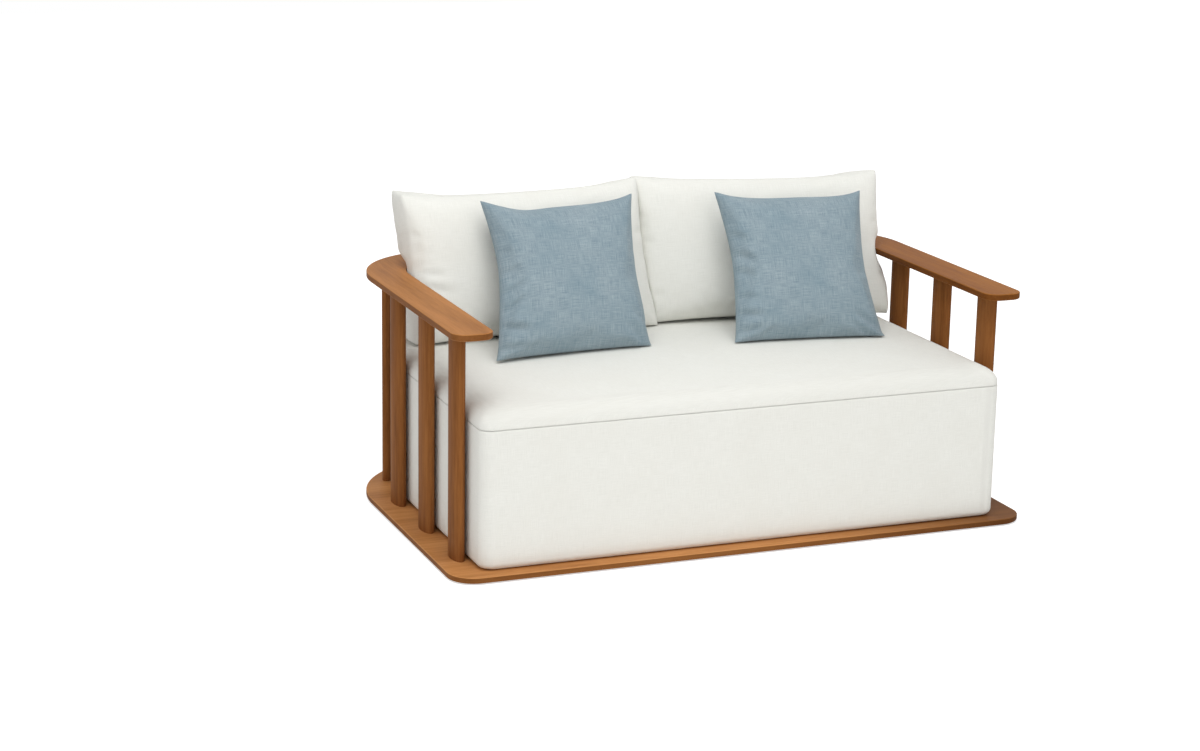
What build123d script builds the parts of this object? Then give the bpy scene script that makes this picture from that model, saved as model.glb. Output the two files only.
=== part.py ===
"""Patio loveseat: a wooden tray frame of upright slats under a flat top rail, with a tall
upholstered seat block, two back cushions and two throw pillows.

Millimetres, +X to the right along the front, +Y to the back, +Z up. The origin is on the
floor, in the middle of the base board.
"""
import math
import os

from build123d import *

# Base board, edge-glued from one thickness of stock
base_width = 1650.0
base_depth = 1060.0
base_thickness = 16.0
base_front_radius = 72.0
base_back_radius = 330.0
arris_radius = 3.0

# Glides that keep the base board off wet ground
glide_diameter = 40.0
glide_stand = 4.0
glide_recess = 2.0
glide_screw_diameter = 4.0
glide_screw_length = 13.0
glide_screw_head_diameter = 8.0
glide_screw_head_height = 2.5
glide_column_shares = (-0.78, -0.27, 0.27, 0.78)
glide_row_shares = (-0.86, -0.10, 0.66)
glide_back_row_share = 0.72

# Upright slats
slat_width = 89.0
slat_thickness = 35.0
slat_inset = 60.0
slat_corner_radius = 240.0
slat_pitch = 248.0
back_slats_each_side = 2
side_slats_each_side = 3

# Top rail: two arms, two corners and a back
rail_height = 638.0
rail_thickness = 18.0
rail_width = 110.0
rail_side_inset = 15.0
rail_back_inset = 5.0
rail_front_inset = 53.0
rail_corner_radius = 280.0
rail_end_radius = 40.0
rail_corner_board_reach = 110.0
rail_tenon_length = 60.0
rail_tenon_width = 60.0
rail_tenon_thickness = 6.0

# Fixings of the slats
fixing_spacing = 44.0
dowel_diameter = 10.0
dowel_slat_depth = 28.0
dowel_rail_depth = 12.0
insert_diameter = 12.0
insert_length = 22.0
bolt_diameter = 6.0
bolt_hole_diameter = 6.6
bolt_head_diameter = 14.0
bolt_head_height = 4.0
bolt_counterbore_diameter = 15.0
bolt_counterbore_depth = 5.0

# Seat block: a sewn cover over foam and a wooden plinth
block_width = 1489.0
block_front_inset = 36.0
block_slat_gap = 3.0
block_front_radius = 64.0
block_foot_rounding = 16.0
block_shoulder_rounding = 52.0
block_seam_height = 388.0
block_height = 443.0
cover_thickness = 2.5
side_foam_thickness = 20.0
plinth_height = 292.0
plinth_panel = 15.0
plinth_divider_offset = 240.0
plinth_screw_diameter = 4.0
plinth_screw_length = 50.0
plinth_screw_spacing = 90.0
plinth_screws_per_joint = 3

# Back cushions: box cushions, pressed flat below and beside the rail
cushion_width = 690.0
cushion_height = 435.0
cushion_edge = 112.0
cushion_thickness = 208.0
cushion_draw_in = 18.0
cushion_corner_radius = 26.0
cushion_crown_reach = 150.0
cushion_crown_radius = 50.0
cushion_lean = 17.0
left_cushion_turn = 1.75
left_cushion_side_gap = 2.5
left_cushion_back_inset = 105.0
left_cushion_rise = 183.0
right_cushion_turn = -8.0
right_cushion_side_gap = 4.5
right_cushion_back_inset = 113.0
right_cushion_rise = 185.0
rail_press_angle = 35.0

# Throw pillows: square, with a seam all round at mid thickness
pillow_size = 440.0
pillow_thickness = 136.0
pillow_draw_in = 20.0
pillow_corner_radius = 8.0
pillow_crown_reach = 180.0
pillow_crown_radius = 22.0
pillow_seam_width = 8.0
pillow_lean = 26.5
left_pillow_turn = 2.0
left_pillow_tilt = 1.8
left_pillow_shift = 62.0
left_pillow_step = 205.0
left_pillow_rise = 192.0
right_pillow_turn = -8.0
right_pillow_tilt = 1.3
right_pillow_shift = 37.0
right_pillow_step = 247.0
right_pillow_rise = 187.0

# Rise and inset of a stuffed face, from its seam to the middle
crown_draw_in_share = 0.9
crown_shares = ((0.0, 0.0), (0.30, 0.06), (0.60, 0.22), (0.84, 0.48), (0.96, 0.76), (1.0, 1.0))

# Clearances
soft_gap = 0.3
rail_clearance = 1.0
overrun = 5.0

# Levels and places that follow from the sizes above
base_under = glide_stand
base_top = base_under + base_thickness
rail_under = rail_height - rail_thickness
slat_length = rail_under - base_top
block_bottom = base_top + soft_gap
slat_line_x = base_width / 2 - slat_inset
slat_line_back = base_depth / 2 - slat_inset
slat_arc_x = slat_line_x - slat_corner_radius
slat_arc_y = slat_line_back - slat_corner_radius
rail_outer_x = base_width / 2 - rail_side_inset
rail_inner_x = rail_outer_x - rail_width
rail_back_y = base_depth / 2 - rail_back_inset
rail_inner_back_y = rail_back_y - rail_width
rail_inner_radius = rail_corner_radius - rail_width
rail_front_y = rail_front_inset - base_depth / 2
rail_joint_x = rail_outer_x - rail_corner_radius - rail_corner_board_reach
rail_joint_y = rail_back_y - rail_corner_radius
block_front_y = block_front_inset - base_depth / 2
block_back_y = slat_line_back - slat_thickness / 2 - block_slat_gap
block_back_radius = slat_corner_radius - slat_thickness / 2 - block_slat_gap
left_cushion_x = left_cushion_side_gap + cushion_width / 2 - rail_inner_x
left_cushion_y = rail_inner_back_y - left_cushion_back_inset
right_cushion_x = rail_inner_x - right_cushion_side_gap - cushion_width / 2
right_cushion_y = rail_inner_back_y - right_cushion_back_inset
left_pillow_x = left_cushion_x + left_pillow_shift
left_pillow_y = left_cushion_y - left_pillow_step
right_pillow_x = right_cushion_x + right_pillow_shift
right_pillow_y = right_cushion_y - right_pillow_step

os.makedirs("parts", exist_ok=True)


def keep(piece, name):
    """Label a finished piece and write its STEP file."""
    piece.label = name
    export_step(piece, f"parts/{name}.step")


def u_outline(half_width, front_y, back_y, front_radius, back_radius):
    """A face with its front and back corners rounded to their own radii."""
    with BuildSketch(mode=Mode.PRIVATE) as outline:
        with Locations((0, (front_y + back_y) / 2)):
            Rectangle(half_width * 2, back_y - front_y)
        corners = outline.vertices().group_by(Axis.Y)
        fillet(corners[0], front_radius)
        corners = outline.vertices().filter_by(lambda v: v.Y > (front_y + back_y) / 2)
        fillet(corners, back_radius)
    return outline.sketch


def back_rounded(half_width, front_y, back_y, radius):
    """A face with square front corners and rounded back corners."""
    with BuildSketch(mode=Mode.PRIVATE) as outline:
        with Locations((0, (front_y + back_y) / 2)):
            Rectangle(half_width * 2, back_y - front_y)
        fillet(outline.vertices().group_by(Axis.Y)[-1], radius)
    return outline.sketch


# The slats stand on one line, parallel to the base's edge, at equal steps along it
def slat_places():
    """Give each slat's name, place and turn, from the middle of the back to both arms."""
    straight = slat_arc_x
    bend = slat_corner_radius * math.pi / 2
    places = [("slat_back_centre", 0.0, slat_line_back, 0.0)]
    for step in range(1, back_slats_each_side + side_slats_each_side + 2):
        run = step * slat_pitch
        if run <= straight:
            x, y, turn = run, slat_line_back, 0.0
        elif run <= straight + bend:
            angle = (run - straight) / slat_corner_radius
            x = slat_arc_x + slat_corner_radius * math.sin(angle)
            y = slat_arc_y + slat_corner_radius * math.cos(angle)
            turn = math.degrees(angle)
        else:
            x, y, turn = slat_line_x, slat_arc_y - (run - straight - bend), 90.0
        if step <= back_slats_each_side:
            name = f"back_{step}"
        elif step == back_slats_each_side + 1:
            name = "corner"
        else:
            name = f"arm_{step - back_slats_each_side - 1}"
        places.append((f"slat_left_{name}", -x, y, turn))
        places.append((f"slat_right_{name}", x, y, -turn))
    return places


def fixing_plane(x, y, turn, height):
    """The plane across a slat's end, with its X axis along the slat's width."""
    along = (math.cos(math.radians(turn)), math.sin(math.radians(turn)), 0)
    return Plane(origin=(x, y, height), x_dir=along, z_dir=(0, 0, 1))


def fixing_planes(height):
    """One such plane for each slat, at one height."""
    return [fixing_plane(x, y, turn, height) for _, x, y, turn in slat_places()]


# Base board, with counterbored bolt holes and shallow seats for the glides
glide_places = []
for row_share in glide_row_shares:
    for column_share in glide_column_shares:
        back_row = row_share == max(glide_row_shares)
        narrow = glide_back_row_share if back_row else 1.0
        glide_places.append((column_share * narrow * base_width / 2, row_share * base_depth / 2))

board_outline = u_outline(
    base_width / 2, -base_depth / 2, base_depth / 2, base_front_radius, base_back_radius
)
with BuildPart() as base_board:
    with BuildSketch(Plane.XY.offset(base_under)):
        add(board_outline)
    extrude(amount=base_thickness)
    flats = base_board.faces().filter_by(Axis.Z)
    fillet(flats.edges(), arris_radius)
    for plane in fixing_planes(base_under):
        with BuildSketch(plane):
            with GridLocations(fixing_spacing, 0, 2, 1):
                Circle(bolt_counterbore_diameter / 2)
        extrude(amount=bolt_counterbore_depth, mode=Mode.SUBTRACT)
        with BuildSketch(plane):
            with GridLocations(fixing_spacing, 0, 2, 1):
                Circle(bolt_hole_diameter / 2)
        extrude(amount=base_thickness + overrun, mode=Mode.SUBTRACT)
    with BuildSketch(Plane.XY.offset(base_under)):
        with Locations(*glide_places):
            Circle(glide_diameter / 2)
    extrude(amount=glide_recess, mode=Mode.SUBTRACT)
    with BuildSketch(Plane.XY.offset(glide_screw_head_height)):
        with Locations(*glide_places):
            Circle(glide_screw_diameter / 2)
    extrude(amount=glide_screw_length, mode=Mode.SUBTRACT)
keep(base_board.part, "base_board")

with BuildPart() as floor_glides:
    with BuildSketch(Plane.XY):
        with Locations(*glide_places):
            Circle(glide_diameter / 2)
    extrude(amount=glide_stand + glide_recess)
    with BuildSketch(Plane.XY):
        with Locations(*glide_places):
            Circle(glide_screw_head_diameter / 2)
    extrude(amount=glide_screw_head_height, mode=Mode.SUBTRACT)
    with BuildSketch(Plane.XY):
        with Locations(*glide_places):
            Circle(glide_screw_diameter / 2)
    extrude(amount=glide_stand + glide_recess, mode=Mode.SUBTRACT)
keep(floor_glides.part, "floor_glides")

with BuildPart() as glide_screws:
    with BuildSketch(Plane.XY.offset(glide_screw_head_height / 2)):
        with Locations(*glide_places):
            Circle(glide_screw_head_diameter / 2)
    extrude(amount=glide_screw_head_height / 2)
    with BuildSketch(Plane.XY.offset(glide_screw_head_height)):
        with Locations(*glide_places):
            Circle(glide_screw_diameter / 2)
    extrude(amount=glide_screw_length)
keep(glide_screws.part, "glide_screws")


# Slats: oval in section, bored for dowels on top and for threaded inserts below
def make_slat(x, y, turn):
    """One slat, standing on the base board and reaching to the rail."""
    with BuildPart() as slat:
        with BuildSketch(fixing_plane(x, y, turn, base_top)):
            Ellipse(slat_width / 2, slat_thickness / 2)
        extrude(amount=slat_length)
        with BuildSketch(fixing_plane(x, y, turn, base_top)):
            with GridLocations(fixing_spacing, 0, 2, 1):
                Circle(insert_diameter / 2)
        extrude(amount=insert_length, mode=Mode.SUBTRACT)
        with BuildSketch(fixing_plane(x, y, turn, rail_under - dowel_slat_depth)):
            with GridLocations(fixing_spacing, 0, 2, 1):
                Circle(dowel_diameter / 2)
        extrude(amount=dowel_slat_depth, mode=Mode.SUBTRACT)
    return slat.part


for slat_name, slat_x, slat_y, slat_turn in slat_places():
    keep(make_slat(slat_x, slat_y, slat_turn), slat_name)

with BuildPart() as slat_inserts:
    for plane in fixing_planes(base_top):
        with BuildSketch(plane):
            with GridLocations(fixing_spacing, 0, 2, 1):
                Circle(insert_diameter / 2)
                Circle(bolt_diameter / 2, mode=Mode.SUBTRACT)
        extrude(amount=insert_length)
keep(slat_inserts.part, "slat_inserts")

with BuildPart() as slat_bolts:
    head_level = base_under + bolt_counterbore_depth - bolt_head_height
    for plane in fixing_planes(head_level):
        with BuildSketch(plane):
            with GridLocations(fixing_spacing, 0, 2, 1):
                Circle(bolt_head_diameter / 2)
        extrude(amount=bolt_head_height)
        with BuildSketch(plane):
            with GridLocations(fixing_spacing, 0, 2, 1):
                Circle(bolt_diameter / 2)
        extrude(amount=base_top + insert_length - head_level)
keep(slat_bolts.part, "slat_bolts")

with BuildPart() as rail_dowels:
    for plane in fixing_planes(rail_under - dowel_slat_depth):
        with BuildSketch(plane):
            with GridLocations(fixing_spacing, 0, 2, 1):
                Circle(dowel_diameter / 2)
        extrude(amount=dowel_slat_depth + dowel_rail_depth)
keep(rail_dowels.part, "rail_dowels")


# Top rail: shaped as one ring, then parted where its five boards meet
tenon_places = []
for side in (-1, 1):
    arm_middle = side * (rail_outer_x - rail_width / 2)
    tenon_places.append((arm_middle, rail_joint_y, 90.0))
    tenon_places.append((side * rail_joint_x, rail_back_y - rail_width / 2, 0.0))


def tenon_plane(x, y, turn):
    """The underside of one loose tenon in the middle of the rail's thickness."""
    along = (math.cos(math.radians(turn)), math.sin(math.radians(turn)), 0)
    height = rail_under + (rail_thickness - rail_tenon_thickness) / 2
    return Plane(origin=(x, y, height), x_dir=along, z_dir=(0, 0, 1))


with BuildPart() as rail_ring:
    with BuildSketch(Plane.XY.offset(rail_under)) as ring_face:
        add(back_rounded(rail_outer_x, rail_front_y, rail_back_y, rail_corner_radius))
        add(
            back_rounded(rail_inner_x, rail_front_y, rail_inner_back_y, rail_inner_radius),
            mode=Mode.SUBTRACT,
        )
        fillet(ring_face.vertices().group_by(Axis.Y)[0], rail_end_radius)
    extrude(amount=rail_thickness)
    fillet(rail_ring.faces().filter_by(Axis.Z).edges(), arris_radius)
    for plane in fixing_planes(rail_under):
        with BuildSketch(plane):
            with GridLocations(fixing_spacing, 0, 2, 1):
                Circle(dowel_diameter / 2)
        extrude(amount=dowel_rail_depth, mode=Mode.SUBTRACT)
    for x, y, turn in tenon_places:
        with BuildSketch(tenon_plane(x, y, turn)):
            Rectangle(rail_tenon_length, rail_tenon_width)
        extrude(amount=rail_tenon_thickness, mode=Mode.SUBTRACT)

arm_joint = Plane(origin=(0, rail_joint_y, 0), z_dir=(0, 1, 0))
for side, side_name in ((-1, "left"), (1, "right")):
    side_joint = Plane(origin=(side * rail_joint_x, 0, 0), z_dir=(side, 0, 0))
    middle = Plane(origin=(0, 0, 0), z_dir=(side, 0, 0))
    with BuildPart() as rail_arm:
        add(rail_ring.part)
        split(bisect_by=arm_joint, keep=Keep.BOTTOM)
        split(bisect_by=middle, keep=Keep.TOP)
    keep(rail_arm.part, f"rail_{side_name}_arm")
    with BuildPart() as rail_corner:
        add(rail_ring.part)
        split(bisect_by=arm_joint, keep=Keep.TOP)
        split(bisect_by=side_joint, keep=Keep.TOP)
    keep(rail_corner.part, f"rail_{side_name}_corner")

with BuildPart() as rail_back:
    add(rail_ring.part)
    for side in (-1, 1):
        joint = Plane(origin=(side * rail_joint_x, 0, 0), z_dir=(side, 0, 0))
        split(bisect_by=joint, keep=Keep.BOTTOM)
    split(bisect_by=arm_joint, keep=Keep.TOP)
keep(rail_back.part, "rail_back")

with BuildPart() as rail_tenons:
    for x, y, turn in tenon_places:
        with BuildSketch(tenon_plane(x, y, turn)):
            Rectangle(rail_tenon_length, rail_tenon_width)
        extrude(amount=rail_tenon_thickness)
keep(rail_tenons.part, "rail_tenons")


# Seat block: the cover is a skirt and a top, sewn together along a seam
def block_outline(inset):
    """The block's plan, drawn in by an inset all round."""
    return u_outline(
        block_width / 2 - inset,
        block_front_y + inset,
        block_back_y - inset,
        block_front_radius - inset,
        block_back_radius - inset,
    )


def block_skirt(inset, top):
    """The block's solid form from its foot up to a level."""
    with BuildPart(mode=Mode.PRIVATE) as form:
        with BuildSketch(Plane.XY.offset(block_bottom + inset)):
            add(block_outline(inset))
        extrude(amount=top - block_bottom - inset)
        foot = form.faces().sort_by(Axis.Z)[0]
        fillet(foot.edges(), block_foot_rounding - inset)
    return form.part


def block_top(inset):
    """The block's solid form above its seam, with a soft shoulder."""
    with BuildPart(mode=Mode.PRIVATE) as form:
        with BuildSketch(Plane.XY.offset(block_seam_height)):
            add(block_outline(inset))
        extrude(amount=block_height - inset - block_seam_height)
        top = form.faces().sort_by(Axis.Z)[-1]
        fillet(top.edges(), block_shoulder_rounding - inset)
    return form.part


with BuildPart() as seat_cover_top:
    add(block_top(0))
    add(block_top(cover_thickness), mode=Mode.SUBTRACT)
keep(seat_cover_top.part, "seat_cover_top")

with BuildPart() as seat_cover_skirt:
    add(block_skirt(0, block_seam_height))
    add(block_skirt(cover_thickness, block_seam_height), mode=Mode.SUBTRACT)
keep(seat_cover_skirt.part, "seat_cover_skirt")

# Foam on top of the plinth and a wadding round its sides
plinth_inset = cover_thickness + side_foam_thickness
plinth_bottom = block_bottom + cover_thickness
plinth_top = plinth_bottom + plinth_height
with BuildPart() as seat_foam:
    add(block_top(cover_thickness))
    with BuildSketch(Plane.XY.offset(plinth_top)):
        add(block_outline(cover_thickness))
    extrude(amount=block_seam_height - plinth_top)
keep(seat_foam.part, "seat_foam")

with BuildPart() as side_wadding:
    add(block_skirt(cover_thickness, plinth_top))
    with BuildSketch(Plane.XY.offset(plinth_bottom)):
        add(block_outline(plinth_inset))
    extrude(amount=plinth_height, mode=Mode.SUBTRACT)
keep(side_wadding.part, "side_wadding")

# Plinth: six panels in a ring, two dividers and a deck, all screwed together
plinth_front_y = block_front_y + plinth_inset
plinth_back_y = block_back_y - plinth_inset
plinth_half = block_width / 2 - plinth_inset
panel_height = plinth_height - plinth_panel
plinth_joint_x = block_width / 2 - block_back_radius
plinth_joint_y = block_back_y - block_back_radius
panel_middle = plinth_half - plinth_panel / 2
deck_screw_places = [(0, plinth_back_y - plinth_panel / 2), (0, plinth_front_y + plinth_panel / 2)]
for side in (-1, 1):
    deck_screw_places.append((side * panel_middle, 0))
    deck_screw_places.append((side * plinth_joint_x / 2, plinth_back_y - plinth_panel / 2))
    deck_screw_places.append((side * plinth_joint_x, plinth_front_y + plinth_panel / 2))

with BuildPart() as plinth_screws:
    front = Plane(
        origin=(0, plinth_front_y, plinth_bottom + panel_height / 2), x_dir=(1, 0, 0), z_dir=(0, -1, 0)
    )
    with BuildSketch(front):
        with GridLocations(plinth_divider_offset * 2, plinth_screw_spacing, 2, plinth_screws_per_joint):
            Circle(plinth_screw_diameter / 2)
    extrude(amount=-plinth_screw_length)
    with BuildSketch(Plane.XY.offset(plinth_top)):
        with Locations(*deck_screw_places):
            Circle(plinth_screw_diameter / 2)
    extrude(amount=-plinth_screw_length)
keep(plinth_screws.part, "plinth_screws")

with BuildPart() as plinth_ring:
    with BuildSketch(Plane.XY.offset(plinth_bottom)):
        add(block_outline(plinth_inset))
        add(block_outline(plinth_inset + plinth_panel), mode=Mode.SUBTRACT)
    extrude(amount=panel_height)
    add(plinth_screws.part, mode=Mode.SUBTRACT)

front_joint = Plane(origin=(0, block_front_y + block_front_radius, 0), z_dir=(0, 1, 0))
corner_joint = Plane(origin=(0, plinth_joint_y, 0), z_dir=(0, 1, 0))
for side, side_name in ((-1, "left"), (1, "right")):
    side_joint = Plane(origin=(side * plinth_joint_x, 0, 0), z_dir=(side, 0, 0))
    middle = Plane(origin=(0, 0, 0), z_dir=(side, 0, 0))
    with BuildPart() as plinth_side:
        add(plinth_ring.part)
        split(bisect_by=front_joint, keep=Keep.TOP)
        split(bisect_by=corner_joint, keep=Keep.BOTTOM)
        split(bisect_by=middle, keep=Keep.TOP)
    keep(plinth_side.part, f"plinth_{side_name}")
    with BuildPart() as plinth_corner:
        add(plinth_ring.part)
        split(bisect_by=corner_joint, keep=Keep.TOP)
        split(bisect_by=side_joint, keep=Keep.TOP)
    keep(plinth_corner.part, f"plinth_{side_name}_corner")
    with BuildPart() as plinth_divider:
        divider_length = plinth_back_y - plinth_front_y - plinth_panel * 2
        with BuildSketch(Plane.XY.offset(plinth_bottom)):
            with Locations((side * plinth_divider_offset, (plinth_front_y + plinth_back_y) / 2)):
                Rectangle(plinth_panel, divider_length)
        extrude(amount=panel_height)
        add(plinth_screws.part, mode=Mode.SUBTRACT)
    keep(plinth_divider.part, f"plinth_{side_name}_divider")

with BuildPart() as plinth_front:
    add(plinth_ring.part)
    split(bisect_by=front_joint, keep=Keep.BOTTOM)
keep(plinth_front.part, "plinth_front")

with BuildPart() as plinth_back:
    add(plinth_ring.part)
    for side in (-1, 1):
        joint = Plane(origin=(side * plinth_joint_x, 0, 0), z_dir=(side, 0, 0))
        split(bisect_by=joint, keep=Keep.BOTTOM)
    split(bisect_by=corner_joint, keep=Keep.TOP)
keep(plinth_back.part, "plinth_back")

with BuildPart() as plinth_deck:
    with BuildSketch(Plane.XY.offset(plinth_top - plinth_panel)):
        add(block_outline(plinth_inset))
    extrude(amount=plinth_panel)
    add(plinth_screws.part, mode=Mode.SUBTRACT)
keep(plinth_deck.part, "plinth_deck")


# Loose cushions: each is half a form, mirrored about its middle plane
def soft_outline(width, height, draw_in, radius):
    """A square-cornered outline whose four sides are drawn in to shallow arcs."""
    across = width / 2
    up = height / 2
    with BuildSketch(mode=Mode.PRIVATE) as outline:
        with BuildLine():
            ThreePointArc((-across, -up), (0, draw_in - up), (across, -up))
            ThreePointArc((across, -up), (across - draw_in, 0), (across, up))
            ThreePointArc((across, up), (0, up - draw_in), (-across, up))
            ThreePointArc((-across, up), (draw_in - across, 0), (-across, -up))
        make_face()
        fillet(outline.vertices(), radius)
    return outline.sketch


def stuffed_form(width, height, edge, thickness, draw_in, radius, reach, crown_radius):
    """A stuffed cushion lying on the XY plane, with a straight edge of the given width."""
    with BuildPart(mode=Mode.PRIVATE) as form:
        for rise_share, inset_share in crown_shares:
            inset = inset_share * reach
            with BuildSketch(Plane.XY.offset(edge / 2 + rise_share * (thickness - edge) / 2)):
                add(
                    soft_outline(
                        width - inset * 2,
                        height - inset * 2,
                        draw_in * (1 - inset_share * crown_draw_in_share),
                        radius + (crown_radius - radius) * inset_share,
                    )
                )
        loft()
        if edge > 0:
            with BuildSketch(Plane.XY):
                add(soft_outline(width, height, draw_in, radius))
            extrude(amount=edge / 2)
        mirror(form.part, about=Plane.XY)
    return form.part


def leaning_plane(place, lean, turn, tilt):
    """A cushion's middle plane: turned about the upright, leant back, tilted in itself."""
    flat = math.cos(math.radians(lean))
    rise = math.sin(math.radians(lean))
    across = math.cos(math.radians(turn))
    along = math.sin(math.radians(turn))
    level = Plane(origin=place, x_dir=(across, along, 0), z_dir=(along * flat, -across * flat, rise))
    return level.rotated((0, 0, -tilt))


def tray_room(inset):
    """The room above the seat and inside the rail, which opens out above the rail."""
    half = rail_inner_x - rail_clearance - inset
    back = rail_inner_back_y - rail_clearance - inset
    front = rail_front_y - base_depth
    radius = rail_inner_radius - rail_clearance - inset
    floor = block_height + soft_gap + inset
    with BuildPart(mode=Mode.PRIVATE) as room:
        with BuildSketch(Plane.XY.offset(floor)):
            add(back_rounded(half, front, back, radius))
        extrude(amount=rail_height + rail_clearance - floor)
        with BuildSketch(Plane.XY.offset(rail_height + rail_clearance)):
            add(back_rounded(half, front, back, radius))
        extrude(amount=cushion_height, taper=-rail_press_angle)
    return room.part


left_cushion_place = (left_cushion_x, left_cushion_y, block_height + left_cushion_rise)
right_cushion_place = (right_cushion_x, right_cushion_y, block_height + right_cushion_rise)
cushion_sides = (
    ("left", left_cushion_place, left_cushion_turn),
    ("right", right_cushion_place, right_cushion_turn),
)
cushion_skin = tray_room(0)
cushion_core = tray_room(cover_thickness)
for side_name, place, turn in cushion_sides:
    plane = leaning_plane(place, cushion_lean, turn, 0)
    with BuildPart() as cushion_body:
        add(
            plane
            * stuffed_form(
                cushion_width,
                cushion_height,
                cushion_edge,
                cushion_thickness,
                cushion_draw_in,
                cushion_corner_radius,
                cushion_crown_reach,
                cushion_crown_radius,
            )
        )
        add(cushion_skin, mode=Mode.INTERSECT)
    with BuildPart() as cushion_fill:
        add(
            plane
            * stuffed_form(
                cushion_width - cover_thickness * 2,
                cushion_height - cover_thickness * 2,
                cushion_edge - cover_thickness * 2,
                cushion_thickness - cover_thickness * 2,
                cushion_draw_in,
                cushion_corner_radius,
                cushion_crown_reach,
                cushion_crown_radius,
            )
        )
        add(cushion_core, mode=Mode.INTERSECT)
    keep(cushion_fill.part, f"{side_name}_cushion_fill")
    with BuildPart() as cushion_cover:
        add(cushion_body.part)
        add(cushion_fill.part, mode=Mode.SUBTRACT)
    keep(cushion_cover.part, f"{side_name}_cushion_cover")

left_pillow_place = (left_pillow_x, left_pillow_y, block_height + left_pillow_rise)
right_pillow_place = (right_pillow_x, right_pillow_y, block_height + right_pillow_rise)
pillow_sides = (
    ("left", left_pillow_place, left_pillow_turn, left_pillow_tilt),
    ("right", right_pillow_place, right_pillow_turn, right_pillow_tilt),
)
for side_name, place, turn, tilt in pillow_sides:
    plane = leaning_plane(place, pillow_lean, turn, tilt)
    with BuildPart() as pillow_body:
        add(
            plane
            * stuffed_form(
                pillow_size,
                pillow_size,
                0,
                pillow_thickness,
                pillow_draw_in,
                pillow_corner_radius,
                pillow_crown_reach,
                pillow_crown_radius,
            )
        )
        with BuildSketch(Plane.XY.offset(block_height + soft_gap)):
            Rectangle(base_width, base_depth)
        extrude(amount=-pillow_size, mode=Mode.SUBTRACT)
    with BuildPart() as pillow_fill:
        add(
            plane
            * stuffed_form(
                pillow_size - pillow_seam_width * 2,
                pillow_size - pillow_seam_width * 2,
                0,
                pillow_thickness - cover_thickness * 2,
                pillow_draw_in,
                pillow_corner_radius,
                pillow_crown_reach,
                pillow_crown_radius,
            )
        )
        with BuildSketch(Plane.XY.offset(block_height + soft_gap + cover_thickness)):
            Rectangle(base_width, base_depth)
        extrude(amount=-pillow_size, mode=Mode.SUBTRACT)
    keep(pillow_fill.part, f"{side_name}_pillow_fill")
    with BuildPart() as pillow_cover:
        add(pillow_body.part)
        add(pillow_fill.part, mode=Mode.SUBTRACT)
    keep(pillow_cover.part, f"{side_name}_pillow_cover")
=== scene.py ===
import math

import bpy
import numpy as np
from mathutils import Matrix, Vector
from mathutils.bvhtree import BVHTree


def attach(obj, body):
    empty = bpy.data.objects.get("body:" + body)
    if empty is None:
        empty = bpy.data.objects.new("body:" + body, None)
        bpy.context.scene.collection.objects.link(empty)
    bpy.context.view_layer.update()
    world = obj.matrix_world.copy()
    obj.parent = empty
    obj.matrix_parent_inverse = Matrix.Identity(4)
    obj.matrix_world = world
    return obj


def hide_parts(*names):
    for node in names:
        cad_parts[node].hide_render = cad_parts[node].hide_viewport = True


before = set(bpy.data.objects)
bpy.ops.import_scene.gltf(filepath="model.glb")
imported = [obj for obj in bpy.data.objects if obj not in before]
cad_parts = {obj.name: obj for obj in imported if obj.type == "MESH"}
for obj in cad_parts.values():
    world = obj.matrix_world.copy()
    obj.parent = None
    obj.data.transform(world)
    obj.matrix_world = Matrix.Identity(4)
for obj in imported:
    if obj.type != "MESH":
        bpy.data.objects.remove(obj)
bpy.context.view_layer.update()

scene = bpy.context.scene

# Camera: it stands in front and left of centre, above head height, and looks down a
# little. Its place and lens were fitted to the corners of the loveseat's frame.
camera_place = Vector((-2.7604, -6.2546, 2.1291))
camera_turn, camera_dip, camera_roll = (math.radians(a) for a in (22.021, 14.593, 1.047))
ahead = Vector((
    math.sin(camera_turn) * math.cos(camera_dip),
    math.cos(camera_turn) * math.cos(camera_dip),
    -math.sin(camera_dip),
))
level_right = Vector((math.cos(camera_turn), -math.sin(camera_turn), 0.0))
level_up = level_right.cross(ahead)
camera_right = level_right * math.cos(camera_roll) + level_up * math.sin(camera_roll)
camera_up = level_up * math.cos(camera_roll) - level_right * math.sin(camera_roll)
camera_data = bpy.data.cameras.new("photo_camera")
camera_data.sensor_fit = "HORIZONTAL"
camera_data.sensor_width = 36.0
camera_data.lens = 76.25
camera = bpy.data.objects.new("photo_camera", camera_data)
scene.collection.objects.link(camera)
camera.matrix_world = Matrix((
    (camera_right.x, camera_up.x, -ahead.x, camera_place.x),
    (camera_right.y, camera_up.y, -ahead.y, camera_place.y),
    (camera_right.z, camera_up.z, -ahead.z, camera_place.z),
    (0.0, 0.0, 0.0, 1.0),
))
scene.camera = camera
scene.view_settings.view_transform = "Standard"


class Shade:
    """A shader value that can be used in Python sums, each of which adds a Math node."""

    def __init__(self, finish, socket):
        self.finish = finish
        self.socket = socket

    def sum(self, operation, first, second):
        return self.finish.node("ShaderNodeMath", {"operation": operation}, (first, second))

    def __add__(self, other):
        return self.sum("ADD", self, other)

    def __radd__(self, other):
        return self.sum("ADD", other, self)

    def __sub__(self, other):
        return self.sum("SUBTRACT", self, other)

    def __rsub__(self, other):
        return self.sum("SUBTRACT", other, self)

    def __mul__(self, other):
        return self.sum("MULTIPLY", self, other)

    def __rmul__(self, other):
        return self.sum("MULTIPLY", other, self)


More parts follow.
